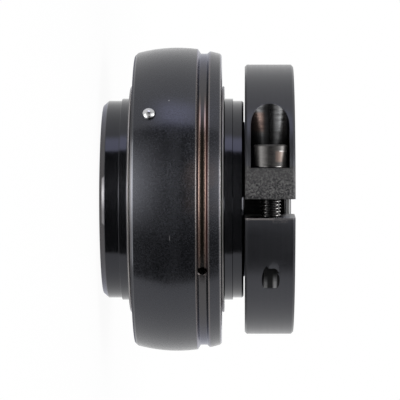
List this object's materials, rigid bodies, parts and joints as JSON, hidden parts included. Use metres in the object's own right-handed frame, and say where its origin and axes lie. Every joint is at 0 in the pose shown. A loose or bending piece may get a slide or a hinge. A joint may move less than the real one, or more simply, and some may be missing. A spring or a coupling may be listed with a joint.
{
  "type": "insert bearing",
  "caption": "Insert ball bearing: spherical outer ring with grease groove and locating pin, wide inner ring with slit neck, riveted ball cage, seals, flingers and a split screw clamp collar.",
  "frame": {"origin": "on the bearing's axis, at the centre of the outer ring's spherical outside and of the ball circle", "axes": "+Z along the shaft axis towards the locking collar; -Y is the side that the picture shows, with the collar's slot and screw"},
  "size_m": [0.072, 0.072, 0.0448],
  "materials": {
    "black_steel": "black oxide, satin",
    "bright_steel": "ground and polished",
    "screw_steel": "machined, lightly oiled",
    "cage_steel": "pressed sheet",
    "seal_rubber": "moulded, matt"
  },
  "bodies": {
    "outer_race": {"outer_ring": "black_steel", "locating_pin": "bright_steel", "seal_shell_left": "cage_steel", "seal_shell_right": "cage_steel", "seal_lip_left": "seal_rubber", "seal_lip_right": "seal_rubber"},
    "inner_race": {"inner_ring": "black_steel", "flinger_left": "black_steel", "flinger_right": "black_steel"},
    "ball_cage": {"cage_left": "cage_steel", "cage_right": "cage_steel", "cage_rivet_1": "cage_steel", "cage_rivet_2": "cage_steel", "cage_rivet_3": "cage_steel", "cage_rivet_4": "cage_steel", "cage_rivet_5": "cage_steel", "cage_rivet_6": "cage_steel", "cage_rivet_7": "cage_steel", "cage_rivet_8": "cage_steel", "cage_rivet_9": "cage_steel"},
    "clamp_collar": {"locking_collar": "black_steel"},
    "clamp_screw": {"collar_screw": "screw_steel"},
    "ball_1_body": {"ball_1": "bright_steel"},
    "ball_2_body": {"ball_2": "bright_steel"},
    "ball_3_body": {"ball_3": "bright_steel"},
    "ball_4_body": {"ball_4": "bright_steel"},
    "ball_5_body": {"ball_5": "bright_steel"},
    "ball_6_body": {"ball_6": "bright_steel"},
    "ball_7_body": {"ball_7": "bright_steel"},
    "ball_8_body": {"ball_8": "bright_steel"},
    "ball_9_body": {"ball_9": "bright_steel"}
  },
  "joints": [
    {"name": "inner_spin", "type": "hinge", "parent": "outer_race", "child": "inner_race", "pos_m": [0, 0, 0], "axis": [0, 0, 1], "continuous": true},
    {"name": "collar_turn", "type": "hinge", "parent": "inner_race", "child": "clamp_collar", "pos_m": [0, 0, 0.0216], "axis": [0, 0, 1], "continuous": true},
    {"name": "screw_turn", "type": "hinge", "parent": "clamp_collar", "child": "clamp_screw", "pos_m": [0.00038, -0.0273, 0.0216], "axis": [0.9999, 0.014, 0], "continuous": true},
    {"name": "cage_orbit", "type": "hinge", "parent": "outer_race", "child": "ball_cage", "pos_m": [0, 0, 0], "axis": [0, 0, 1], "continuous": true},
    {"name": "ball_1_spin", "type": "hinge", "parent": "ball_cage", "child": "ball_1_body", "pos_m": [0.0172, -0.02049, 0], "axis": [0, 0, 1], "continuous": true},
    {"name": "ball_2_spin", "type": "hinge", "parent": "ball_cage", "child": "ball_2_body", "pos_m": [0.02635, -0.00465, 0], "axis": [0, 0, 1], "continuous": true},
    {"name": "ball_3_spin", "type": "hinge", "parent": "ball_cage", "child": "ball_3_body", "pos_m": [0.02317, 0.01338, 0], "axis": [0, 0, 1], "continuous": true},
    {"name": "ball_4_spin", "type": "hinge", "parent": "ball_cage", "child": "ball_4_body", "pos_m": [0.00915, 0.02514, 0], "axis": [0, 0, 1], "continuous": true},
    {"name": "ball_5_spin", "type": "hinge", "parent": "ball_cage", "child": "ball_5_body", "pos_m": [-0.00915, 0.02514, 0], "axis": [0, 0, 1], "continuous": true},
    {"name": "ball_6_spin", "type": "hinge", "parent": "ball_cage", "child": "ball_6_body", "pos_m": [-0.02317, 0.01338, 0], "axis": [0, 0, 1], "continuous": true},
    {"name": "ball_7_spin", "type": "hinge", "parent": "ball_cage", "child": "ball_7_body", "pos_m": [-0.02635, -0.00465, 0], "axis": [0, 0, 1], "continuous": true},
    {"name": "ball_8_spin", "type": "hinge", "parent": "ball_cage", "child": "ball_8_body", "pos_m": [-0.0172, -0.02049, 0], "axis": [0, 0, 1], "continuous": true},
    {"name": "ball_9_spin", "type": "hinge", "parent": "ball_cage", "child": "ball_9_body", "pos_m": [0, -0.02675, 0], "axis": [0, 0, 1], "continuous": true}
  ],
  "couplings": [
    {"joint": "cage_orbit", "follows": "inner_spin", "ratio": 0.39616},
    {"joint": "ball_1_spin", "follows": "inner_spin", "ratio": -2.3037},
    {"joint": "ball_2_spin", "follows": "inner_spin", "ratio": -2.3037},
    {"joint": "ball_3_spin", "follows": "inner_spin", "ratio": -2.3037},
    {"joint": "ball_4_spin", "follows": "inner_spin", "ratio": -2.3037},
    {"joint": "ball_5_spin", "follows": "inner_spin", "ratio": -2.3037},
    {"joint": "ball_6_spin", "follows": "inner_spin", "ratio": -2.3037},
    {"joint": "ball_7_spin", "follows": "inner_spin", "ratio": -2.3037},
    {"joint": "ball_8_spin", "follows": "inner_spin", "ratio": -2.3037},
    {"joint": "ball_9_spin", "follows": "inner_spin", "ratio": -2.3037}
  ]
}
